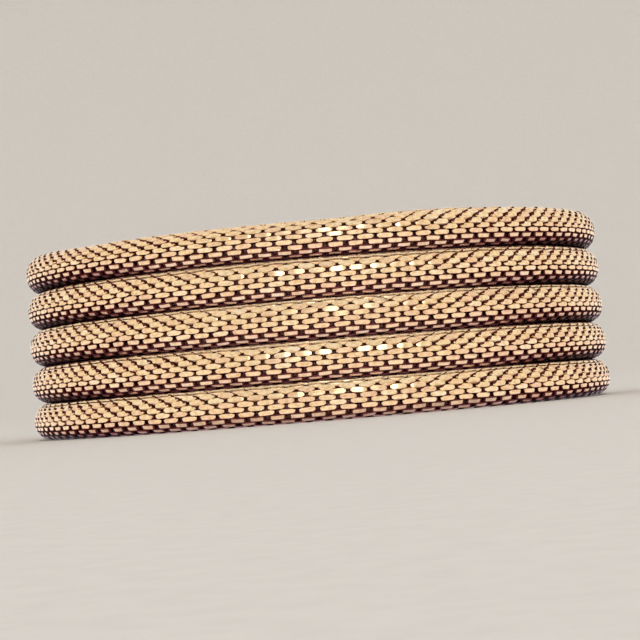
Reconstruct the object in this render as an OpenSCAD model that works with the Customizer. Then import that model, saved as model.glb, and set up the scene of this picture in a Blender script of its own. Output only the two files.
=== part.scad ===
// Bracelet of stacked tubes of fine chain mesh, each a hollow ring that opens at the back, where all of
// them end in one plain curved clasp. The origin is on the bracelet's axis, level with the surface that
// it lies on. +Z runs along the axis, and -Y points to the front, away from the clasp.

/* [Strands] */
// Number of strands in the stack
strand_count = 5; // [1:1:8]
// Outside diameter of one tube of mesh
tube_d = 4.1; // [3:0.1:8]
// Thickness of the mesh, which is one layer of arched links
mesh_wall = 0.9; // [0.4:0.1:1]
// Gap left between one strand and the next
strand_gap = 0.1; // [0.05:0.05:1]
// Outside diameter of the lowest ring, which is the widest
outer_d = 66.8; // [50:0.2:90]
// How much wider each ring is than the one above it
ring_step = 0.16; // [0:0.02:0.5]

/* [Clasp] */
// Length of the clasp round the outside of the bracelet
clasp_length = 12; // [6:0.5:30]
// How far the clasp stands inside the narrowest ring
clasp_inset = 0.5; // [0:0.1:1.5]
// Radius of the clasp's long edges
edge_r = 0.8; // [0.2:0.1:1.2]
// Length of each peg, measured from the side of the clasp
peg_length = 3; // [1:0.5:6]
// Clearance between a peg and the inside of its tube
peg_clearance = 0.1; // [0.05:0.05:0.3]
// Gap between the end of a tube and the side of the clasp
end_gap = 0.15; // [0.05:0.05:0.5]

/* [Hidden] */
$fn = 96;

tube_r = tube_d / 2;
bore_r = tube_r - mesh_wall;
pitch = tube_d + strand_gap;
stack_h = pitch * (strand_count - 1) + tube_d;
clasp_outer_r = outer_d / 2;
clasp_inner_r = ring_r(1) - tube_r - clasp_inset;
clasp_w = clasp_outer_r - clasp_inner_r;
clasp_angle = arc_angle(clasp_length, clasp_outer_r);
// Angle round the axis, from +X, at which the clasp sits
back = 90;

// Strands are numbered from the top of the stack down
function ring_r(i) = clasp_outer_r - tube_r - ring_step / 2 * (strand_count - i);
function ring_z(i) = tube_r + pitch * (strand_count - i);
// Angle that an arc of a given length takes up on a circle
function arc_angle(length, r) = length / r * 180 / PI;

// Sweeps a section, drawn with X away from the axis and Y up, through an arc centred on the clasp's place
module arc_sweep(angle, middle) {
    rotate([0, 0, middle - angle / 2]) rotate_extrude(angle = angle) children();
}

// Flat section with four round corners
module rounded_section(w, h, r) {
    translate([0, r]) square([w, h - 2 * r]);
    translate([r, 0]) square([w - 2 * r, h]);
    for (x = [r, w - r], y = [r, h - r]) translate([x, y]) circle(r);
}

module strand(i) {
    open_angle = clasp_angle + arc_angle(2 * end_gap, ring_r(i));
    color("goldenrod")
        arc_sweep(360 - open_angle, back + 180)
            translate([ring_r(i), ring_z(i)])
                difference() {
                    circle(tube_r);
                    circle(bore_r);
                }
}

module peg(i) {
    arc_sweep(clasp_angle + arc_angle(2 * peg_length, ring_r(i)), back)
        translate([ring_r(i), ring_z(i)])
            circle(bore_r - peg_clearance);
}

module clasp() {
    color("gold") {
        arc_sweep(clasp_angle, back)
            translate([clasp_inner_r, 0])
                rounded_section(clasp_w, stack_h, edge_r);
        for (i = [1 : strand_count]) peg(i);
    }
}

for (i = [1 : strand_count]) strand(i);
clasp();
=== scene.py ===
# %% [markdown]
# # A bracelet of chain-mesh strands
#
# This lesson dresses a plain model of a bracelet. The real one is five soft tubes, each woven from some two
# thousand arched metal links, stacked edge to edge and joined behind the wrist by a clasp. The construction
# is already there, so the first step is to load it. Nothing in it is moved. New pieces are laid over it, and
# the plain pieces they cover are hidden.

# %% Load the frame
import math

import bmesh
import bpy
import numpy as np
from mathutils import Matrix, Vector


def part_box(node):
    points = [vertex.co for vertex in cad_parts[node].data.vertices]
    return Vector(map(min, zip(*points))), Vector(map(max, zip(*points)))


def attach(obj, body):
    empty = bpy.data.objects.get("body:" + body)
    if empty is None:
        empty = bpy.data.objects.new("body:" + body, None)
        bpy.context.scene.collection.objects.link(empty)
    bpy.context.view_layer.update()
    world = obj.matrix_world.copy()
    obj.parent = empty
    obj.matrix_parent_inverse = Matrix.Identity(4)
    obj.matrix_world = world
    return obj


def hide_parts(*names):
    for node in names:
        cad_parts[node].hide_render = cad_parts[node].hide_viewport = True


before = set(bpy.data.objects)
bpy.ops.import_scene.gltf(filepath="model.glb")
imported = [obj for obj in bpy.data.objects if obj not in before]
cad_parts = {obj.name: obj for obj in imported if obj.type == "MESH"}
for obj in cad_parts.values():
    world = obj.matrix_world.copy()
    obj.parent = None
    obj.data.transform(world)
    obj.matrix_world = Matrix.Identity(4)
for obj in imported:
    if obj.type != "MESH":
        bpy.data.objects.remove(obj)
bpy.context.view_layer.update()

MM = 0.001

# %% [markdown]
# ## Read the sizes from the frame
#
# A strand is a ring of round tube that opens at the clasp. Three numbers place it: the tube's radius, the
# radius of the ring that the middle of the tube follows, and the height of that ring. The ring's open angle
# comes from its points: the one that lies furthest round from the front marks the end of the tube. Reading
# sizes from the frame keeps the looks in step with the construction if a size changes there.
#
# The links stand a little proud of the plain tubes, so that no gap shows between one strand and the next.

# %% Measure the strands
PROUD = 0.05 * MM


def furthest_round(node):
    """Largest angle from the front, either way, that any point of the ring reaches."""
    return max(abs(math.atan2(v.co.x, -v.co.y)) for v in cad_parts[node].data.vertices)


def measure_strand(node):
    low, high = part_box(node)
    tube_r = (high.z - low.z) / 2
    return {"node": node, "tube_r": tube_r, "ring_r": -low.y - tube_r,
            "height": (low.z + high.z) / 2, "arc": 2 * furthest_round(node)}


strands = [measure_strand(node) for node in sorted(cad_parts) if node.startswith("strand_")]
TUBE_R = strands[0]["tube_r"] + PROUD
ARC = strands[-1]["arc"]
mean_ring_r = sum(strand["ring_r"] for strand in strands) / len(strands)
for strand in strands:
    print(strand["node"], "ring radius in mm:", round(strand["ring_r"] / MM, 2))

# %% [markdown]
# ## Small helpers
#
# An operator acts on whatever is selected, so each step starts from a clean selection. In edit mode the
# points to be moved are picked by a test on their place, as a modeller would pick them with a box.

# %% Select, apply and copy
def only(piece, *others):
    """Selects these objects and nothing else, the first of them active."""
    bpy.ops.object.select_all(action="DESELECT")
    for chosen in (piece, *others):
        chosen.select_set(True)
    bpy.context.view_layer.objects.active = piece


def pick_points(piece, test):
    """In edit mode, selects the points that pass a test, with the edges and faces between them."""
    bpy.context.tool_settings.mesh_select_mode = (True, False, False)
    mesh = bmesh.from_edit_mesh(piece.data)
    for face in mesh.faces:
        face.select_set(False)
    for point in mesh.verts:
        point.select_set(bool(test(point.co)))
    mesh.select_flush(True)
    bmesh.update_edit_mesh(piece.data)


def apply_modifier(piece, kind, **settings):
    """Adds one modifier, sets it up and applies it."""
    only(piece)
    modifier = piece.modifiers.new(kind.lower(), kind)
    for name, value in settings.items():
        setattr(modifier, name, value)
    bpy.ops.object.modifier_apply(modifier=modifier.name)


def copy_of(piece, name):
    """A copy with a mesh of its own."""
    twin = piece.copy()
    twin.data = piece.data.copy()
    twin.name = twin.data.name = name
    bpy.context.scene.collection.objects.link(twin)
    return twin


# %% [markdown]
# Many steps below change thousands of points at once. They are read into one table, worked on column by
# column and written back, which is far quicker than a loop over the points. A value that belongs to a point,
# such as how deep it lies, is kept in the mesh as an attribute, where a material can read it.

# %% Read, move and note points
def points_of(piece):
    points = np.empty(len(piece.data.vertices) * 3, np.float32)
    piece.data.vertices.foreach_get("co", points)
    return points.reshape(-1, 3)


def move_points(piece, points):
    piece.data.vertices.foreach_set("co", np.ascontiguousarray(points, np.float32).ravel())
    piece.data.update()


def note(piece, name, values):
    """Keeps one value, or one vector, for every point of a piece."""
    kind, field = ("FLOAT_VECTOR", "vector") if values.ndim == 2 else ("FLOAT", "value")
    layer = piece.data.attributes.new(name, kind, "POINT")
    layer.data.foreach_set(field, np.ascontiguousarray(values, np.float32).ravel())


def noted(piece, name):
    """The values that a piece keeps under a name."""
    values = np.empty(len(piece.data.vertices), np.float32)
    piece.data.attributes[name].data.foreach_get("value", values)
    return values


# %% [markdown]
# ## One link
#
# Seen from outside, a link is a short flat bar of gold whose two ends curl down into the tube. It could be
# a bent curve with a flat profile, but then every link would carry dozens of hidden faces. A five-sided bar
# is enough: a flat top, two slanting sides, and a keel that nobody sees.
#
# The photo gives the number of links in a turn and the number of rows round the tube. The space from one link
# to the next follows from the ring, and a bar takes up most of it. The middle stretch of a bar stays flat.

# %% Size a link
LINKS_ALONG = 93
ROWS = 24
BAR_SHARE = 0.93
FLAT_HALF = 0.17 * MM
row_angle = math.tau / ROWS
pitch = mean_ring_r * ARC / (LINKS_ALONG - 0.5 + BAR_SHARE)
half_bar = pitch * BAR_SHARE / 2
print("pitch in mm:", round(pitch / MM, 3), "row spacing:", round(TUBE_R * row_angle / MM, 3))

# %% [markdown]
# ### The section of the bar
#
# The bar starts as a cylinder with five sides, lying along X. At first its radius is a whole metre, so that
# its five long edges are easy to tell apart. Then each edge is moved to its place. The top is wide, the
# sides fall away from it, and the keel is pulled up.

# %% Shape the section
SAME_EDGE = 0.01
# The five long edges of a bar: how far to the upper side each lies, and how far below the top
EDGES = {
    "upper_top": {"across": 0.215 * MM, "drop": 0.0},
    "lower_top": {"across": -0.250 * MM, "drop": 0.0},
    "upper_side": {"across": 0.290 * MM, "drop": 0.08 * MM},
    "lower_side": {"across": -0.300 * MM, "drop": 0.055 * MM},
    "keel": {"across": -0.370 * MM, "drop": 0.36 * MM},
}


def start_bar():
    bpy.ops.object.select_all(action="DESELECT")
    bpy.ops.mesh.primitive_cylinder_add(vertices=len(EDGES), radius=1, depth=2 * FLAT_HALF,
                                        rotation=(-math.pi / 2, 0, -math.pi / 2))
    bar = bpy.context.object
    bar.name = bar.data.name = "link"
    bpy.ops.object.transform_apply(location=True, rotation=True, scale=True)
    return bar


def which_edge(point):
    """Name of the long edge of the plain five-sided bar that a point belongs to."""
    if point.z < -0.5:
        return "keel"
    side = "upper" if point.y > 0 else "lower"
    return side + ("_top" if point.z > 0.5 else "_side")


def shape_section(bar):
    """Moves the five long edges to their places, notes how far across each lies and stays in edit mode."""
    names = [which_edge(v.co) for v in bar.data.vertices]
    note(bar, "across", np.array([EDGES[name]["across"] for name in names]))
    corners = {name: bar.data.vertices[names.index(name)].co.copy() for name in EDGES}
    bpy.ops.object.mode_set(mode="EDIT")
    for name, corner in corners.items():
        pick_points(bar, lambda p: (p.yz - corner.yz).length < SAME_EDGE)
        across, drop = EDGES[name]["across"], EDGES[name]["drop"]
        bpy.ops.transform.translate(value=(0, across - corner.y, TUBE_R - drop - corner.z))


link = start_bar()
shape_section(link)
top_width = EDGES["upper_top"]["across"] - EDGES["lower_top"]["across"]
print("width of the flat top in mm:", round(top_width / MM, 3))

# %% [markdown]
# ### Its curled ends
#
# Each end is extruded three times. Each new end face is tilted, narrowed and let down, so that the bar curls
# like a staple. Every step says how far out the new face lies as a share of half a bar, how far below the
# top, its tilt in degrees and its size as a share of the bar's section.

# %% Curl the ends
CURL = [
    {"reach": 0.60, "drop": 0.02 * MM, "tilt": 8, "size": 1.00},
    {"reach": 0.86, "drop": 0.08 * MM, "tilt": 40, "size": 0.50},
    {"reach": 0.99, "drop": 0.48 * MM, "tilt": 78, "size": 0.36},
]


def curl_end(bar, side):
    """Extrudes the end face on one side, step by step, down into the tube."""
    before = {"reach": FLAT_HALF / half_bar, "drop": 0, "tilt": 0, "size": 1}
    pick_points(bar, lambda p: p.x * side > FLAT_HALF * 0.9)
    for step in CURL:
        out = (step["reach"] - before["reach"]) * half_bar * side
        down = before["drop"] - step["drop"]
        pivot = (step["reach"] * half_bar * side, 0, TUBE_R - step["drop"])
        shrink = step["size"] / before["size"]
        bpy.ops.mesh.extrude_region_move(TRANSFORM_OT_translate={"value": (out, 0, down)})
        bpy.ops.transform.rotate(value=-math.radians(step["tilt"] - before["tilt"]) * side,
                                 orient_axis="Y", center_override=pivot)
        bpy.ops.transform.resize(value=(shrink, shrink, shrink), center_override=pivot)
        before = step


for side in (1, -1):
    curl_end(link, side)
bpy.ops.mesh.select_all(action="SELECT")
bpy.ops.mesh.normals_make_consistent(inside=False)
bpy.ops.object.mode_set(mode="OBJECT")
note(link, "along", points_of(link)[:, 0] / half_bar)
LINK_POINTS = len(link.data.vertices)
print("a link has", LINK_POINTS, "points and", len(link.data.polygons), "faces")

# %% [markdown]
# ## A place on the map for every link
#
# The colours of the links can be painted on a flat map. If every link had a place of its own there, the map
# would need to be split into two thousand small patches, which takes an unwrapping tool very long. Here one
# link is unwrapped and its patch is shrunk into one small cell. The copies then move on by one cell each.

# %% Unwrap the link into one cell
CELL_MARGIN = 0.04
ISLAND_GAP = 0.03
SEAM_ANGLE = math.radians(66)


def map_of(piece):
    """Where each corner of each face lies on the flat map."""
    layer = piece.data.uv_layers["OFBake"].uv
    flat = np.empty(len(layer) * 2, np.float32)
    layer.foreach_get("vector", flat)
    return flat.reshape(-1, 2)


def move_map(piece, flat):
    layer = piece.data.uv_layers["OFBake"].uv
    layer.foreach_set("vector", np.ascontiguousarray(flat, np.float32).ravel())


def unwrap_into_cell(piece, across, up):
    """Unwraps a piece and shrinks its map into the first of across x up cells."""
    while piece.data.uv_layers:
        piece.data.uv_layers.remove(piece.data.uv_layers[0])
    piece.data.uv_layers.new(name="OFBake")
    only(piece)
    bpy.ops.object.mode_set(mode="EDIT")
    bpy.ops.mesh.select_all(action="SELECT")
    bpy.ops.uv.smart_project(angle_limit=SEAM_ANGLE, island_margin=ISLAND_GAP)
    bpy.ops.object.mode_set(mode="OBJECT")
    move_map(piece, (map_of(piece) * (1 - 2 * CELL_MARGIN) + CELL_MARGIN) / (across, up))


unwrap_into_cell(link, LINKS_ALONG, ROWS)
print("cell of one link on the map:", map_of(link).max(axis=0).round(4))

# %% [markdown]
# ## From one link to a tube
#
# The rows of links sit like bricks in a wall: each row is half a link further on than the one before it. So
# the pattern repeats after two rows. The link and its shifted neighbour are joined into a pair. One Array
# modifier turns the pair round the tube, by means of an empty that is turned by two rows. A second one
# lays the finished band end to end. The result is a straight tube of links, still without its bend.

# %% Make the straight tube
neighbour = copy_of(link, "neighbour")
move_map(neighbour, map_of(neighbour) + (0, 1 / ROWS))
only(neighbour)
neighbour.location.x = pitch / 2
neighbour.rotation_euler.x = row_angle
bpy.ops.object.transform_apply(location=True, rotation=True, scale=True)
only(link, neighbour)
bpy.ops.object.join()

bpy.ops.object.empty_add(rotation=(2 * row_angle, 0, 0))
turned = bpy.context.object
apply_modifier(link, "ARRAY", count=ROWS // 2, use_relative_offset=False,
               use_object_offset=True, offset_object=turned, offset_v=2 / ROWS)
bpy.data.objects.remove(turned)
apply_modifier(link, "ARRAY", count=LINKS_ALONG, use_relative_offset=False, use_constant_offset=True,
               constant_offset_displace=(pitch, 0, 0), offset_u=1 / LINKS_ALONG)
straight = link
straight.name = straight.data.name = "straight_tube"
centred = points_of(straight)
centred[:, 0] -= (centred[:, 0].min() + centred[:, 0].max()) / 2
move_points(straight, centred)
print("links in a tube:", len(centred) // LINK_POINTS, "length in mm:", round(np.ptp(centred[:, 0]) / MM, 1))

# %% [markdown]
# ## Zones of a strand
#
# While the tube is straight, the place of a point along it, round it and below its surface is easy to read.
# Each point keeps these three numbers, so that scratches and stains follow the tube once it is bent.
#
# Painted light and shade follow the shape of a bracelet: crests and pads are bright, some of them with
# painted light, and what lies in a groove or on the underside is painted dark, as shade. So a strand has
# zones, and each blends in over some way. Most of them begin and are full at a certain rise, which is 1 on
# top of a tube, 0 at half its height and -1 at the bottom. The side and the slant begin at a certain angle
# away from the front, and the slant is a little weaker on the right.

# %% Read the zones
# The rise at which each zone begins, and the rise at which it is full
ZONES = {
    "upper": (-0.10, 0.20),
    "crest_light_band": (0.62, 0.92),
    "dotted": (0.72, 0.84),
    "leaning": (0.72, 0.92),
    "top": (0.78, 0.96),
    "crest": (0.90, 0.97),
    "seam": (0.91, 0.955),
    "trimmed": (-0.05, -0.65),
    "low": (-0.20, -0.65),
    "lifted": (-0.35, -0.70),
    "bottom": (-0.50, -0.85),
}
SIDE = (math.radians(22), math.radians(52))
SLANT = (math.radians(8), math.radians(32))
RIGHT_SLANT = 0.88


def blend(value, start, full):
    """0 before start, 1 past full, smooth between them."""
    share = np.clip((value - start) / (full - start), 0, 1)
    return share * share * (3 - 2 * share)


def mix(share, first, second):
    return first + (second - first) * share


def read_zones(piece):
    """Notes the flat place of each point of a straight tube, and tells how far it lies in each zone."""
    x, y, z = points_of(piece).T
    radius = np.sqrt(y * y + z * z)
    sunk = TUBE_R - radius
    note(piece, "laid_flat", np.stack([x, np.arctan2(y, z) * TUBE_R, sunk], axis=1))
    rise, azimuth = z / radius, x / mean_ring_r
    zones = {name: blend(rise, *ends) for name, ends in ZONES.items()}
    zones["side"] = blend(abs(azimuth), *SIDE)
    zones["slant"] = blend(abs(azimuth), *SLANT) * np.where(azimuth > 0, RIGHT_SLANT, 1)
    places = {"rise": rise, "sunk": sunk, "from_front": np.sign(azimuth), "outside": y < 0}
    return {**zones, **places}


print("zones:", ", ".join(ZONES))

# %% [markdown]
# ## How far the bright metal reaches before the painted shade
#
# On top of a strand the bars keep their bright metal from edge to edge. Lower down, the upper side of each
# bar is painted dark, as shade. Away from the front, wedges of painted shade show instead, along the half of
# a bar that is nearer to the front and under its far end, so that the bright bars seem to join into slanting
# ribbons.
# Just below the crest the ends of the bars are painted dark, which makes small dots of shade. On the
# underside all but a pad in the middle of each bar is painted dark, and the pad is smaller at the sides of
# the bracelet than in front.
#
# Each point keeps how far from the middle of its bar the metal stays bright, up, down and towards the ends;
# past that it is painted dark, as shade.

# %% Note where the painted shade begins
WHOLE_BAR = 0.6 * MM
UPPER_EDGE = 0.22 * MM
WEDGE_ABOVE, WEDGE_BELOW = -0.12 * MM, 0.05 * MM
NEAR_HALF, FAR_END = (0.0, 0.6), (0.40, 0.90)
# Pads: how far they reach from the middle, in front and at the sides
PAD = (0.23 * MM, 0.20 * MM)
LOW_PAD_UP = (0.165 * MM, 0.14 * MM)
LOW_PAD_DOWN = (0.165 * MM, 0.13 * MM)
LOW_PAD_END = (0.66, 0.47)
DOTTED_END = 0.74


def note_shade_edges(piece, at):
    # Past these reaches the material paints the bar dark, as shade.
    away = noted(piece, "along") * at["from_front"]
    pad = mix(at["low"], mix(at["side"], *PAD), mix(at["side"], *LOW_PAD_UP))
    pad_down = mix(at["low"], pad, mix(at["side"], *LOW_PAD_DOWN))
    front_above = mix(at["top"], UPPER_EDGE, WHOLE_BAR)
    above = mix(at["slant"], front_above, mix(blend(-away, *NEAR_HALF), WHOLE_BAR, WEDGE_ABOVE))
    below = mix(at["slant"], WHOLE_BAR, mix(blend(away, *FAR_END), WHOLE_BAR, WEDGE_BELOW))
    note(piece, "upper_edge", mix(at["upper"], pad, mix(at["crest"], above, WHOLE_BAR)))
    note(piece, "lower_edge", mix(at["upper"], pad_down, mix(at["crest"], below, WHOLE_BAR)))
    ends = mix(at["trimmed"], 1.0, mix(at["side"], *LOW_PAD_END))
    note(piece, "end_edge", mix(at["dotted"] * (1 - at["crest"]), ends, DOTTED_END))


print("low pads reach, in mm:", [round(reach / MM, 3) for reach in LOW_PAD_UP + LOW_PAD_DOWN])

# %% [markdown]
# ## Painted light on crests and low bars, painted shade in depth and grooves
#
# The crests under another strand lie in its shade, so they get painted light: a lighter cream colour and a
# matt look. The low bars get painted light too, a paler pink colour that stands for the pinkish light they
# mirror from below. A bar beside a groove would mirror little but the next strand. In the photo such bars
# stay bright, as if they were tipped towards the viewer. A slope that only the light sees, kept here as the
# lean, does this without moving them.
#
# Below some depth the metal is painted dark, as shade in the hollows between the bars, and that depth is
# deeper on top of a tube than below. Painted shade is also thickest on the underside and in the seam where
# one strand meets the next, and it begins higher up at the sides of the bracelet.

# %% Note painted light, lean and painted shade
# Values in front and at the sides
CREST_LIGHT_SHARE = (0.8, 0.35)
PINK_LIGHT_SHARE = (1.0, 0.5)
GROOVE_SHADE_SHARE = (0.85, 1.0)
GROOVE_SHADE_START = (-0.80, -0.52)
GROOVE_SHADE_FULL = (-1.0, -0.90)
LOWER_SHINE = (0.34 * MM, 0.15 * MM)
UPPER_SHINE = (0.40 * MM, 0.30 * MM)
# Values in front and where the rows slant
TOP_SHINE = (1.0 * MM, 0.5 * MM)
# Values that hold all round
BOTTOM_SHINE = 0.4 * MM
PINK_LIGHT_LOW, PINK_LIGHT_BOTTOM = 0.20, 0.45
LIFT = 0.6


def note_depth(piece, at):
    """Notes how deep a point lies, as a share of the depth past which it is painted dark, as shade."""
    halves = mix(at["upper"], mix(at["side"], *LOWER_SHINE), mix(at["side"], *UPPER_SHINE))
    shine = mix(at["top"], halves, mix(at["slant"], *TOP_SHINE))
    shine = shine + at["bottom"] * (1 - at["side"]) * BOTTOM_SHINE
    note(piece, "depth", np.clip(at["sunk"] / shine, 0, 1))


# Painted shade towards the bottom of a strand and the groove below it, starting higher up at the sides.
def groove_shade_below(at):
    side = at["side"]
    return mix(side, *GROOVE_SHADE_SHARE) * blend(at["rise"], mix(side, *GROOVE_SHADE_START), mix(side, *GROOVE_SHADE_FULL))


def note_colours(piece, at, strand):
    covered, covering = strand is not strands[0], strand is not strands[-1]
    # Painted light: a paler pink on low bars, for the pinkish light they mirror from below.
    pink_light = PINK_LIGHT_LOW * at["low"] + PINK_LIGHT_BOTTOM * at["bottom"]
    lean = at["leaning"] * covered - LIFT * at["lifted"] * (1 - at["side"]) * covering
    # Painted light: a cream colour on crests that lie in the shade of the strand above.
    note(piece, "painted_crest_light", mix(at["side"], *CREST_LIGHT_SHARE) * at["crest_light_band"] * covered)
    note(piece, "painted_pink_light", pink_light * mix(at["side"], *PINK_LIGHT_SHARE))
    note(piece, "lean", lean * np.where(at["outside"], 1, -1))
    # Painted shade on the underside, and in the seam under the strand above.
    note(piece, "groove_shade", np.maximum(groove_shade_below(at), at["seam"] * covered))


print("depths of the shine in mm:", [round(deep / MM, 2) for deep in LOWER_SHINE + UPPER_SHINE + TOP_SHINE])

# %% [markdown]
# ## Squarer shoulders
#
# Strands that press on each other don't stay quite round. In the photo the rows keep their height almost up
# to the grooves, so the outer side of each tube is flatter than a circle's, most of all in front. On a
# circle the squares of width and height add up to one. With a higher power than two, the same rule gives a
# round shape with squarer shoulders, which is just as wide and as high.
#
# The upper half of the top strand also sags a little, at the left of the front. The real bracelet is soft.

# %% Square up and sag
FRONT_POWER, SIDE_POWER, INNER_POWER = 2.8, 2.25, 2.0
FRONT_ENDS = (math.radians(35), math.radians(75))
SAG = 0.18
SAG_BEGINS = (math.radians(-75), math.radians(-45))
SAG_ENDS = (0, math.radians(25))


def square_up(piece, strand):
    """Gives the outer side of a straight tube squarer shoulders, and lets the top strand sag."""
    points = points_of(piece)
    x, y, z = points.T
    radius = np.sqrt(y * y + z * z)
    azimuth = x / mean_ring_r
    front = 1 - blend(abs(azimuth), *FRONT_ENDS)
    power = np.where(y < 0, mix(front, SIDE_POWER, FRONT_POWER), INNER_POWER)
    points[:, 1:] *= ((abs(y / radius) ** power + abs(z / radius) ** power) ** (-1 / power))[:, None]
    if strand is strands[0]:
        share = blend(azimuth, *SAG_BEGINS) * (1 - blend(azimuth, *SAG_ENDS))
        points[:, 2] *= 1 - SAG * share * (z > 0)
    move_points(piece, points)


shoulder_gain = math.sqrt(2) / 2 ** (1 / FRONT_POWER) - 1
print("the shoulders move out by up to", round(shoulder_gain * TUBE_R / MM, 2), "mm")

# %% [markdown]
# ## Bending a tube round the wrist
#
# A Simple Deform modifier in Bend mode rolls the straight tube into a ring. The tube lies along X, so the
# bend is about Z, and the ring's radius follows from the tube's length and the angle. The same few steps
# serve the links and the dark lining inside them, so both stay in line.

# %% Bend and place
def stretch_to(piece, length):
    points = points_of(piece)
    points[:, 0] *= length / (points[:, 0].max() - points[:, 0].min())
    move_points(piece, points)


def bend_into_ring(piece, strand):
    """Bends a straight piece, which lies along X, into the ring of one strand."""
    apply_modifier(piece, "SIMPLE_DEFORM", deform_method="BEND", deform_axis="Z", angle=ARC)
    points = points_of(piece)
    points[:, 1] -= strand["ring_r"]
    points[:, 2] += strand["height"]
    move_points(piece, points)


def smooth(piece, angle):
    """Shades a piece smooth, except over edges sharper than the angle."""
    only(piece)
    bpy.ops.object.shade_smooth_by_angle(angle=math.radians(angle))


print("angle of the bend in degrees:", round(math.degrees(ARC), 1))

# %% [markdown]
# ## Loose links
#
# Woven links never lie quite alike. Each one is turned and tilted by a few degrees and shifted by a few
# hundredths of a millimetre. The turn is small, so it can be written as one cross product for all points at
# once, which is much faster than turning two thousand links one by one. Each link also gets a number of its
# own, its tone, from which the material makes small differences in colour.
#
# The topmost rows are packed closer in the photo, so the links there are grown a little and flattened.

# %% Loosen the links
YAW, ROLL, ROCK = math.radians(1.6), math.radians(2.2), math.radians(2.0)
SLIDE = 0.022 * MM
RAISED, RAISED_SPREAD = -0.01 * MM, 0.012 * MM
TOP_GROWTH, TOP_FLATTENING = 0.16, 0.5
TOP_ROWS = (0.70, 0.97)


def loosen(tube, rng):
    points = points_of(tube)
    count = len(points) // LINK_POINTS

    def draw(spread, middle=0):
        return rng.normal(middle, spread, (count, 1, 1))

    by_link = points.reshape(count, LINK_POINTS, 3)
    middle = by_link.mean(axis=1, keepdims=True)
    outward = middle * (0, 1, 1)
    outward /= np.linalg.norm(outward, axis=2, keepdims=True)
    along = np.broadcast_to((1.0, 0.0, 0.0), outward.shape)
    across = np.cross(outward, along)
    turn = outward * draw(YAW) + along * draw(ROLL) + across * draw(ROCK)
    shift = along * draw(SLIDE) + outward * draw(RAISED_SPREAD, RAISED)
    from_middle = by_link - middle
    height = (from_middle * outward).sum(axis=2, keepdims=True)
    sunk = height.max(axis=1, keepdims=True) - height
    growth = (from_middle - outward * height) * TOP_GROWTH + outward * sunk * TOP_FLATTENING
    top = blend(outward[:, :, 2:], *TOP_ROWS)
    loosened = by_link + np.cross(turn, from_middle) + shift + growth * top
    move_points(tube, loosened.reshape(-1, 3))
    note(tube, "tone", np.repeat(rng.random(count), LINK_POINTS))


print("links slide by about", round(SLIDE / MM, 3), "mm, either way")

# %% [markdown]
# ## Five strands of links
#
# Each strand is a copy of the straight tube. It is first rolled about its own length, by some part of a row,
# because the rows of the five strands don't lie at the same heights in the photo. Then it is noted, loosened,
# squared up and bent, and the plain strand is hidden.

# %% Make the strands
ROW_PHASES = [0.90, 1.76, 0.42, 1.61, 0.40]
FIRST_SEED = 40
LINK_SMOOTHING = 36


def roll_tube(piece, angle):
    """Turns a straight piece about its own length."""
    only(piece)
    piece.rotation_euler.x = angle
    bpy.ops.object.transform_apply(location=True, rotation=True, scale=True)


woven = []
for number, strand in enumerate(strands):
    tube = copy_of(straight, strand["node"] + "_links")
    roll_tube(tube, ROW_PHASES[number] * row_angle)
    zones = read_zones(tube)
    note_shade_edges(tube, zones)
    note_depth(tube, zones)
    note_colours(tube, zones, strand)
    loosen(tube, np.random.default_rng(FIRST_SEED + number))
    square_up(tube, strand)
    stretch_to(tube, strand["ring_r"] * ARC)
    bend_into_ring(tube, strand)
    smooth(tube, LINK_SMOOTHING)
    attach(tube, "root")
    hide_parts(strand["node"])
    woven.append(tube)
bpy.data.objects.remove(straight)
print("faces in a strand:", len(woven[0].data.polygons))

# %% [markdown]
# ## The dark lining
#
# Between the bars one sees the inner sides of other links, dulled and in shade. To model them would double
# the work for a few dark dots. A thin tube just under the bars stands for them, and its dark colour is
# painted shade. It is a cylinder without ends, cut across into short stretches so that it can bend.

# %% Cut across and start a pipe
def cut_across(piece, length, cuts):
    """Cuts the edges that run the whole length of a piece along X, so that it can bend."""
    bpy.ops.object.mode_set(mode="EDIT")
    bpy.context.tool_settings.mesh_select_mode = (False, True, False)
    mesh = bmesh.from_edit_mesh(piece.data)
    for edge in mesh.edges:
        one, other = edge.verts
        edge.select_set(abs(one.co.x - other.co.x) > length / 2)
    bmesh.update_edit_mesh(piece.data)
    bpy.ops.mesh.subdivide(number_cuts=cuts)
    bpy.ops.object.mode_set(mode="OBJECT")


def straight_pipe(name, radius, length, cuts, sides):
    bpy.ops.object.select_all(action="DESELECT")
    bpy.ops.mesh.primitive_cylinder_add(vertices=sides, radius=radius, depth=length,
                                        end_fill_type="NOTHING", rotation=(0, math.pi / 2, 0))
    pipe = bpy.context.object
    pipe.name = pipe.data.name = name
    bpy.ops.object.transform_apply(location=True, rotation=True, scale=True)
    cut_across(pipe, length, cuts)
    return pipe


# %% [markdown]
# Where two strands touch, the lining swells until it meets the next one, so that no light passes between
# them. It is noted and squared up as the links are, and Solidify gives it a wall, inwards. It also keeps how
# bare its metal is. Behind the topmost rows, and at the bottom in front, the photo shows gold between the
# bars.

# %% Make the lining
LINING_R = 1.68 * MM
LINING_WALL = 0.15 * MM
LINING_CUTS = 95
LINING_SIDES = 24
LINING_SMOOTHING = 40
TOUCHING = (0.96, 1.0)
BARE_LOSS_AT_SIDE, BARE_AT_BOTTOM = 0.6, 0.45


def close_groove(lining, strand):
    """Swells a lining where its strand touches the next one."""
    points = points_of(lining)
    rise = points[:, 2] / LINING_R
    touching = blend(abs(rise), *TOUCHING)
    if strand is strands[0]:
        touching[rise > 0] = 0
    if strand is strands[-1]:
        touching[rise < 0] = 0
    points[:, 1:] *= mix(touching, 1, TUBE_R / LINING_R)[:, None]
    move_points(lining, points)


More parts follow.
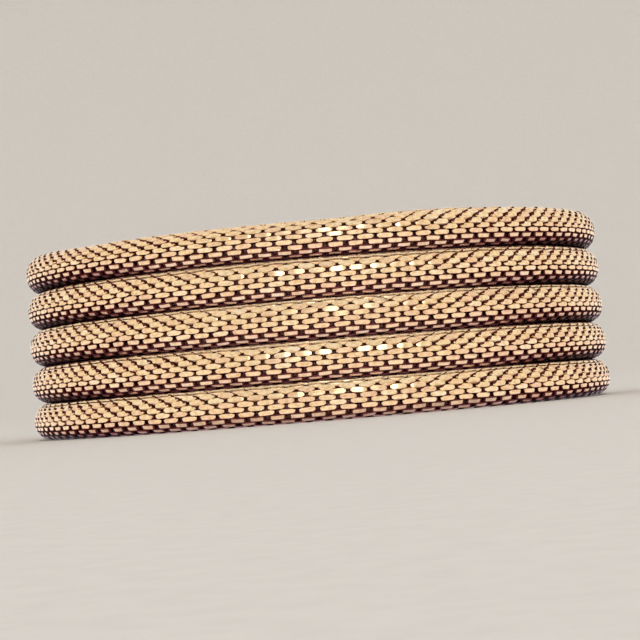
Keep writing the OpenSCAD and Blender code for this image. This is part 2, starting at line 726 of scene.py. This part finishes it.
def note_lining(lining):
    at = read_zones(lining)
    bare = at["top"] * (1 - BARE_LOSS_AT_SIDE * at["side"] * (1 - at["crest"]))
    note(lining, "bare", bare + BARE_AT_BOTTOM * at["bottom"] * (1 - at["side"]))
    # The lining gets the same painted shade towards the bottom.
    note(lining, "groove_shade", groove_shade_below(at))


linings = []
for strand in strands:
    length = strand["ring_r"] * ARC
    lining = straight_pipe(strand["node"] + "_lining", LINING_R, length, LINING_CUTS, LINING_SIDES)
    note_lining(lining)
    close_groove(lining, strand)
    square_up(lining, strand)
    apply_modifier(lining, "SOLIDIFY", thickness=LINING_WALL, offset=-1)
    bend_into_ring(lining, strand)
    smooth(lining, LINING_SMOOTHING)
    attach(lining, "root")
    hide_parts(strand["node"])
    linings.append(lining)
print("faces in a lining:", len(linings[0].data.polygons))

# %% [markdown]
# ## The clasp
#
# Behind the wrist a plain curved bar holds all the tube ends. It could be spun from its section, but a
# straight bar that is bent later can keep its flat places, and the brushing follows them. It starts as a
# cube, scaled to the length along its middle, the thickness and the height, and is cut across so that it can
# bend. A Bevel modifier rounds its edges, and the same kind of bend as before brings it into line with the
# rings.

# %% Measure the clasp
SAME_RADIUS = 0.01 * MM


def clasp_sizes():
    """Inner and outer radius, bottom and top, and the angle that the plain clasp's bar takes up."""
    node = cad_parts["clasp"].data
    radius = [math.hypot(v.co.x, v.co.y) for v in node.vertices]
    rim = [v.co for v, r in zip(node.vertices, radius) if r > max(radius) - SAME_RADIUS]
    half = max(abs(math.atan2(p.x, p.y)) for p in rim)
    low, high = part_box("clasp")
    return min(radius), max(radius), low.z, high.z, 2 * half


inner_r, outer_r, clasp_low, clasp_high, clasp_angle = clasp_sizes()
mid_r = (inner_r + outer_r) / 2
clasp_length = mid_r * clasp_angle
print("clasp length in mm:", round(clasp_length / MM, 1))

# %% [markdown]
# The bend turns the bar about a point behind it, so the bar comes out at the front, like the strands. Half a
# turn about the bracelet's axis, which is a change of sign of X and Y, takes it to the back.

# %% Make the clasp
CLASP_CUTS = 15
CLASP_EDGE_R = 0.8 * MM
CLASP_EDGE_STEPS = 4
SHARP_EDGE = math.radians(60)
CLASP_SMOOTHING = 40

bpy.ops.object.select_all(action="DESELECT")
bpy.ops.mesh.primitive_cube_add(size=1, scale=(clasp_length, outer_r - inner_r, clasp_high - clasp_low))
clasp = bpy.context.object
clasp.name = clasp.data.name = "clasp_bar"
bpy.ops.object.transform_apply(location=True, rotation=True, scale=True)
cut_across(clasp, clasp_length, CLASP_CUTS)
apply_modifier(clasp, "BEVEL", width=CLASP_EDGE_R, segments=CLASP_EDGE_STEPS, limit_method="ANGLE",
               angle_limit=SHARP_EDGE)
note(clasp, "laid_flat", points_of(clasp))
apply_modifier(clasp, "SIMPLE_DEFORM", deform_method="BEND", deform_axis="Z", angle=clasp_angle)
shaped = points_of(clasp)
shaped[:, 1] -= mid_r
shaped[:, 2] += (clasp_low + clasp_high) / 2
shaped[:, :2] *= -1
move_points(clasp, shaped)
smooth(clasp, CLASP_SMOOTHING)
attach(clasp, "root")
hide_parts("clasp")
print("faces in the clasp:", len(clasp.data.polygons))

# %% [markdown]
# ## Materials
#
# A material is a tree of nodes. Written out one by one, nodes and their links fill pages, so a small class
# adds them. Most of its methods hand back the socket that the next one takes. Wherever a method takes a
# socket it also takes a plain value, and a colour that is mixed in is three numbers.

# %% Node helpers
class Nodes:
    """Adds nodes to one tree and joins them."""

    def __init__(self, tree):
        self.tree = tree

    def add(self, kind, **settings):
        node = self.tree.nodes.new("ShaderNode" + kind)
        for name, value in settings.items():
            setattr(node, name, value)
        return node

    def feed(self, node, **values):
        """Joins sockets to a node's inputs, or sets the inputs to plain values."""
        for name, value in values.items():
            self.join(value, node.inputs[name.replace("_", " ")])

    def join(self, value, entry):
        if isinstance(value, bpy.types.NodeSocket):
            self.tree.links.new(value, entry)
        else:
            entry.default_value = value

    def attribute(self, name, output="Fac"):
        return self.add("Attribute", attribute_name=name).outputs[output]

    def math(self, operation, *values):
        node = self.add("Math", operation=operation)
        for value, entry in zip(values, node.inputs):
            self.join(value, entry)
        return node.outputs["Value"]

    def spread(self, value, low, high, to_low=0.0, to_high=1.0, kind="LINEAR"):
        """Maps the range from low to high onto the range from to_low to to_high."""
        node = self.add("MapRange", interpolation_type=kind)
        self.feed(node, Value=value, From_Min=low, From_Max=high, To_Min=to_low, To_Max=to_high)
        return node.outputs["Result"]

    def ramp(self, value, stops):
        """A colour ramp, given as pairs of place and colour."""
        node = self.add("ValToRGB")
        parts = node.color_ramp.elements
        while len(parts) > 1:
            parts.remove(parts[0])
        parts[0].position, parts[0].color = stops[0][0], (*stops[0][1], 1)
        for place, colour in stops[1:]:
            parts.new(place).color = (*colour, 1)
        self.feed(node, Fac=value)
        return node.outputs["Color"]

    def mix(self, share, first, second, blend_type="MIX"):
        """Mixes two colours. Blender keeps a Mix node's colours at inputs 6 and 7 and at output 2."""
        node = self.add("Mix", data_type="RGBA", blend_type=blend_type)
        for value, number in ((share, 0), (first, 6), (second, 7)):
            self.join((*value, 1) if isinstance(value, tuple) else value, node.inputs[number])
        return node.outputs[2]

    def multiply(self, first, *others):
        for other in others:
            first = self.mix(1.0, first, other, "MULTIPLY")
        return first

    def noise(self, vector, scale, detail):
        """Soft noise; the scale says how many blobs a metre holds along each axis."""
        mapping = self.add("Mapping")
        self.feed(mapping, Vector=vector, Scale=scale)
        texture = self.add("TexNoise")
        self.feed(texture, Vector=mapping.outputs["Vector"], Scale=1.0, Detail=detail)
        return texture.outputs["Fac"]

    def bump(self, height, strength, distance):
        node = self.add("Bump")
        self.feed(node, Height=height, Strength=strength, Distance=distance)
        return node


# %% [markdown]
# A new material goes onto its pieces at once. Links and clasp are both finished with fine drawn lines, which
# change the roughness a little and stand out in relief, so they share one step.

# %% Material helpers
LINE_HEIGHT = 0.02 * MM


def new_material(name, pieces):
    """Puts a new material on these pieces; hands back its surface and a way to add nodes."""
    made = bpy.data.materials.new(name)
    made.use_nodes = True
    for piece in pieces:
        piece.data.materials.clear()
        piece.data.materials.append(made)
    return made.node_tree.nodes["Principled BSDF"], Nodes(made.node_tree)


def brush(surface, nodes, lines, roughness, strength):
    """Lets fine lines change the roughness and the relief of a surface."""
    relief = nodes.bump(lines, strength, LINE_HEIGHT)
    nodes.feed(surface, Roughness=nodes.spread(lines, 0.0, 1.0, *roughness), Normal=relief.outputs["Normal"])
    return relief


# %% [markdown]
# ### Colour of the gold
#
# The tone of a link picks a colour between a pinker gold and yellow gold. Two painted lights are blended in:
# a cream colour on the crests that lie in the shade of the next strand, and a pale pink on the underside,
# which stands for the pinkish light it mirrors. Cloudy stains take off a little more, as finger marks do, so
# that no two links look quite the same.

# %% Colour of the gold
LINK_TINTS = [(0.0, (0.88, 0.64, 0.43)), (0.35, (0.92, 0.71, 0.44)), (0.8, (0.94, 0.76, 0.48)),
              (1.0, (0.96, 0.82, 0.57))]
CREST_LIGHT_COLOUR = (1.0, 0.84, 0.57)
PINK_LIGHT_COLOUR = (0.94, 0.78, 0.68)
STAIN_SCALE = (2200, 3200, 3200)
STAIN_TINTS = [(0.34, (0.80, 0.70, 0.58)), (0.50, (0.95, 0.91, 0.87)), (0.60, (1, 1, 1))]

gold, nodes = new_material("link_gold", woven)
flat = nodes.attribute("laid_flat", "Vector")
painted_crest_light, painted_pink_light = nodes.attribute("painted_crest_light"), nodes.attribute("painted_pink_light")
# Painted light: cream on shaded crests, pale pink on low bars.
metal = nodes.mix(painted_crest_light, nodes.ramp(nodes.attribute("tone"), LINK_TINTS), CREST_LIGHT_COLOUR)
metal = nodes.mix(painted_pink_light, metal, PINK_LIGHT_COLOUR)
metal = nodes.multiply(metal, nodes.ramp(nodes.noise(flat, STAIN_SCALE, 4.0), STAIN_TINTS))
print("nodes for the colour:", len(nodes.tree.nodes))

# %% [markdown]
# ### Where the painted shade begins
#
# The notes say how far from the middle of its bar the metal stays bright. A point that lies past that, up,
# down or lengthwise, falls off to a painted dark aubergine shade within a few hundredths of a millimetre.
# Depth and the groove shade darken the metal in the same way, as painted shade, each over a ramp of its own.

# %% Painted shade at the sides, in depth and in grooves
SHADE_EDGE_FALLOFF = (-0.02 * MM, 0.04 * MM)
SIDE_SHADE_TINTS = [(0.0, (1, 1, 1)), (0.5, (0.45, 0.30, 0.28)), (1.0, (0.13, 0.042, 0.068))]
DEPTH_SHADE_TINTS = [(0.0, (1, 1, 1)), (0.40, (0.95, 0.90, 0.86)), (0.72, (0.45, 0.28, 0.26)),
               (1.0, (0.16, 0.05, 0.07))]
GROOVE_SHADE_TINTS = [(0.0, (1, 1, 1)), (0.5, (0.50, 0.35, 0.46)), (1.0, (0.11, 0.04, 0.075))]

across = nodes.attribute("across")
past_upper = nodes.math("SUBTRACT", across, nodes.attribute("upper_edge"))
past_lower = nodes.math("SUBTRACT", nodes.math("MULTIPLY", across, -1.0), nodes.attribute("lower_edge"))
from_middle = nodes.math("ABSOLUTE", nodes.attribute("along"))
past_end = nodes.math("MULTIPLY", nodes.math("SUBTRACT", from_middle, nodes.attribute("end_edge")), half_bar)
past = nodes.math("MAXIMUM", nodes.math("MAXIMUM", past_upper, past_lower), past_end)
# Painted shade: past the edges of the bright part a bar turns dark aubergine.
sides = nodes.ramp(nodes.spread(past, *SHADE_EDGE_FALLOFF), SIDE_SHADE_TINTS)
deep = nodes.ramp(nodes.attribute("depth"), DEPTH_SHADE_TINTS)
groove_shaded = nodes.ramp(nodes.attribute("groove_shade"), GROOVE_SHADE_TINTS)
painted_shade = nodes.multiply(sides, deep, groove_shaded)
print("nodes with the dark parts:", len(nodes.tree.nodes))

# %% [markdown]
# ### Shine of the gold
#
# Metal mirrors its surroundings, and crests and low pads look matt and milky in the photo, so they are made a
# little less metallic. The painted shade also tints the glancing shine, because dark metal would flash white
# along its edges otherwise. Fine scratches run along the links. Under them, a first bump makes the slope that
# the lean asks for: its height grows across the bar.

# %% Shine of the gold
GOLD_METALLIC = 0.95
CREST_LIGHT_MATT, PINK_LIGHT_MATT = 0.4, 0.6
SCRATCH_SCALE = (1200, 9000, 9000)

matt = nodes.math("ADD", nodes.math("MULTIPLY", painted_crest_light, CREST_LIGHT_MATT),
                  nodes.math("MULTIPLY", painted_pink_light, PINK_LIGHT_MATT))
nodes.feed(gold, Metallic=nodes.math("SUBTRACT", GOLD_METALLIC, matt),
           Base_Color=nodes.multiply(metal, painted_shade), Specular_Tint=painted_shade)
scratches = brush(gold, nodes, nodes.noise(flat, SCRATCH_SCALE, 3.0), roughness=(0.12, 0.26), strength=0.15)
leaning = nodes.bump(nodes.math("MULTIPLY", across, nodes.attribute("lean")), strength=1.0, distance=1.0)
nodes.feed(scratches, Normal=leaning.outputs["Normal"])
print("nodes in the gold:", len(nodes.tree.nodes))

# %% [markdown]
# ### Dark lining
#
# The lining is nearly black with a breath of aubergine, painted shade for the shaded inner links, and patchy,
# as old polish is. It shows bare metal where its notes say so, and it is blackest where the groove shade is
# painted.

# %% Lining material
PATCH_SCALE = (2600, 3600, 2600)
PATCH_TINTS = [(0.35, (0.09, 0.022, 0.030)), (0.55, (0.16, 0.05, 0.06)), (0.64, (0.40, 0.22, 0.24)),
               (0.72, (0.8, 0.6, 0.55))]
BARE_METAL = (0.80, 0.58, 0.36)
GROOVE_SHADE_BLACK = (0.10, 0.02, 0.06)

# The lining's near-black is painted shade for the hollow inside the tube.
lining_surface, nodes = new_material("inner_patina", linings)
patches = nodes.ramp(nodes.noise(nodes.attribute("laid_flat", "Vector"), PATCH_SCALE, 4.0), PATCH_TINTS)
bare = nodes.mix(nodes.attribute("bare"), patches, BARE_METAL)
nodes.feed(lining_surface, Base_Color=nodes.mix(nodes.attribute("groove_shade"), bare, GROOVE_SHADE_BLACK),
           Metallic=0.6, Roughness=0.6)
print("nodes in the lining:", len(nodes.tree.nodes))

# %% [markdown]
# ### Brushed clasp
#
# The clasp is plain brushed metal. Noise that is stretched far along the bar gives its fine lines, in colour
# as well as in relief.

# %% Clasp material
BRUSH_SCALE = (120, 9000, 9000)
BRUSHED_TINTS = [(0.3, (0.84, 0.60, 0.36)), (0.7, (0.93, 0.72, 0.46))]

brushed, nodes = new_material("clasp_gold", [clasp])
lines = nodes.noise(nodes.attribute("laid_flat", "Vector"), BRUSH_SCALE, 4.0)
nodes.feed(brushed, Base_Color=nodes.ramp(lines, BRUSHED_TINTS), Metallic=1.0)
brush(brushed, nodes, lines, roughness=(0.24, 0.40), strength=0.2)
print("nodes in the clasp:", len(nodes.tree.nodes))

# %% [markdown]
# ## The studio
#
# The floor and the backdrop are one round dish with a soft corner, made by spinning a short profile, so that
# the bracelet can be seen from any side. The dish doesn't show in the metal and blocks no light: what the
# gold mirrors, below as well as above, is the sky of the world, which is easier to set.

# %% Floor
DISH_R = 0.9
CORNER = 0.35
RIM_HEIGHT = 1.6
CORNER_POINTS = 10
DISH_STEPS = 64
GRAIN_SCALE = (900, 900, 900)
PAPER_TINTS = [(0.3, (0.80, 0.79, 0.77)), (0.7, (0.84, 0.83, 0.81))]

profile = [(0.0, 0.0), (DISH_R - CORNER, 0.0)]
profile += [(DISH_R - CORNER + CORNER * math.sin(a), CORNER - CORNER * math.cos(a))
            for a in np.linspace(0, math.pi / 2, CORNER_POINTS)[1:]]
profile += [(DISH_R, RIM_HEIGHT)]
dish_mesh = bpy.data.meshes.new("dish")
dish_mesh.from_pydata([(x, 0, z) for x, z in profile], [(i, i + 1) for i in range(len(profile) - 1)], [])
dish = bpy.data.objects.new("dish", dish_mesh)
bpy.context.scene.collection.objects.link(dish)
only(dish)
bpy.ops.object.mode_set(mode="EDIT")
bpy.ops.mesh.select_all(action="SELECT")
bpy.ops.mesh.spin(steps=DISH_STEPS, angle=math.tau, center=(0, 0, 0), axis=(0, 0, 1))
bpy.ops.mesh.select_all(action="SELECT")
bpy.ops.mesh.normals_make_consistent(inside=True)
bpy.ops.object.mode_set(mode="OBJECT")
bpy.ops.object.shade_smooth()
paper, nodes = new_material("paper", [dish])
grain = nodes.noise(nodes.add("TexCoord").outputs["Object"], GRAIN_SCALE, 3.0)
nodes.feed(paper, Base_Color=nodes.ramp(grain, PAPER_TINTS), Metallic=0.0, Roughness=0.9)
dish.visible_glossy = False
dish.visible_shadow = False
print("points of the dish:", len(dish_mesh.vertices))

# %% [markdown]
# ### The sky
#
# A bright, slightly warm sky all round gives the soft light. Polished metal looks dark where it mirrors
# something dark, so the part below the horizon matters most: it is bright towards the front, where the
# undersides must still read as gold, and darker behind, most of all straight down. The parts run into each
# other over soft steps.

# %% Sky
FULL_DOWN, LEVEL, FULL_UP = -1.0, 0.0, 1.0
TO_THE_SIDE, TO_THE_FRONT, HORIZON = (0.3, 0.8), (0.1, 0.65), (-0.05, 0.15)
ABOVE_FRONT = [(0.0, (0.91, 0.86, 0.83)), (1.0, (0.95, 0.91, 0.87))]
ABOVE_SIDE = (1.03, 0.96, 0.87)
BELOW_FRONT = [(0.0, (0.85, 0.72, 0.68)), (0.2, (1.10, 0.97, 0.92)), (1.0, (1.12, 1.02, 0.96))]
BELOW_BEHIND = [(0.0, (0.30, 0.22, 0.24)), (0.3, (0.75, 0.64, 0.66)), (1.0, (1.10, 1.03, 1.05))]

world = bpy.data.worlds.new("room")
bpy.context.scene.world = world
world.use_nodes = True
sky = Nodes(world.node_tree)


def soft_step(value, low, high):
    """0 below low, 1 above high, smooth between them."""
    return sky.spread(value, low, high, kind="SMOOTHSTEP")


axes = sky.add("SeparateXYZ")
sky.feed(axes, Vector=sky.add("TexCoord").outputs["Generated"])
up = axes.outputs["Z"]
sideways = sky.math("ABSOLUTE", axes.outputs["X"])
toward_front = sky.math("MULTIPLY", axes.outputs["Y"], -1.0)
height_above, height_below = soft_step(up, LEVEL, FULL_UP), soft_step(up, FULL_DOWN, LEVEL)
above = sky.mix(soft_step(sideways, *TO_THE_SIDE), sky.ramp(height_above, ABOVE_FRONT), ABOVE_SIDE)
below = sky.mix(soft_step(toward_front, *TO_THE_FRONT),
                sky.ramp(height_below, BELOW_BEHIND), sky.ramp(height_below, BELOW_FRONT))
sky.feed(sky.tree.nodes["Background"], Color=sky.mix(soft_step(up, *HORIZON), below, above), Strength=1.0)
print("nodes in the sky:", len(sky.tree.nodes))

# %% [markdown]
# ### The key light
#
# One wide, flat lamp stands in front of the bracelet, twenty degrees up. A bar mirrors it only if it faces
# halfway between the lamp and the camera, so each strand gets a few white bars near its middle, as in the
# photo.

# %% Key light
KEY_ASIDE, KEY_FAR, KEY_UP = 0.08, 0.6, math.radians(20)
KEY_AIM = Vector((0, -0.03, 0.01))
KEY_SIZE = (0.34, 0.09)
KEY_POWER = 0.32

key_place = Vector((KEY_ASIDE, -KEY_FAR * math.cos(KEY_UP), KEY_FAR * math.sin(KEY_UP)))
bpy.ops.object.light_add(type="AREA", location=key_place)
key = bpy.context.object
key.name = "key"
key.rotation_mode = "QUATERNION"
key.rotation_quaternion = (KEY_AIM - key_place).to_track_quat("-Z", "Y")
key.data.shape = "RECTANGLE"
key.data.size, key.data.size_y = KEY_SIZE
key.data.energy = KEY_POWER
print("distance of the lamp in m:", round((KEY_AIM - key_place).length, 2))

# %% [markdown]
# ## The camera
#
# The photo was taken from about a quarter of a metre away, level with the lowest strand, and the bracelet
# rises a little to the right in it. The place of the eye, the aim and the lens come from a fit of five level
# rings to its outline and its grooves.

# %% Place the camera
EYE = Vector((0.0, -0.24416, 0.00343))
AIM = Vector((0.00048, 0.0, 0.01130))
ROLL_RIGHT = math.radians(4.7)
SENSOR_WIDTH, FOCAL_LENGTH = 36, 117.27
NEAREST = 1 * MM

bpy.ops.object.camera_add(location=EYE)
camera = bpy.context.object
camera.rotation_euler = (AIM - EYE).to_track_quat("-Z", "Y").to_euler()
camera.rotation_euler.rotate_axis("Z", -ROLL_RIGHT)
camera.data.sensor_width = SENSOR_WIDTH
camera.data.lens = FOCAL_LENGTH
camera.data.clip_start = NEAREST
bpy.context.scene.camera = camera
bpy.context.scene.view_settings.view_transform = "Standard"
print("distance of the camera in m:", round((AIM - EYE).length, 3))
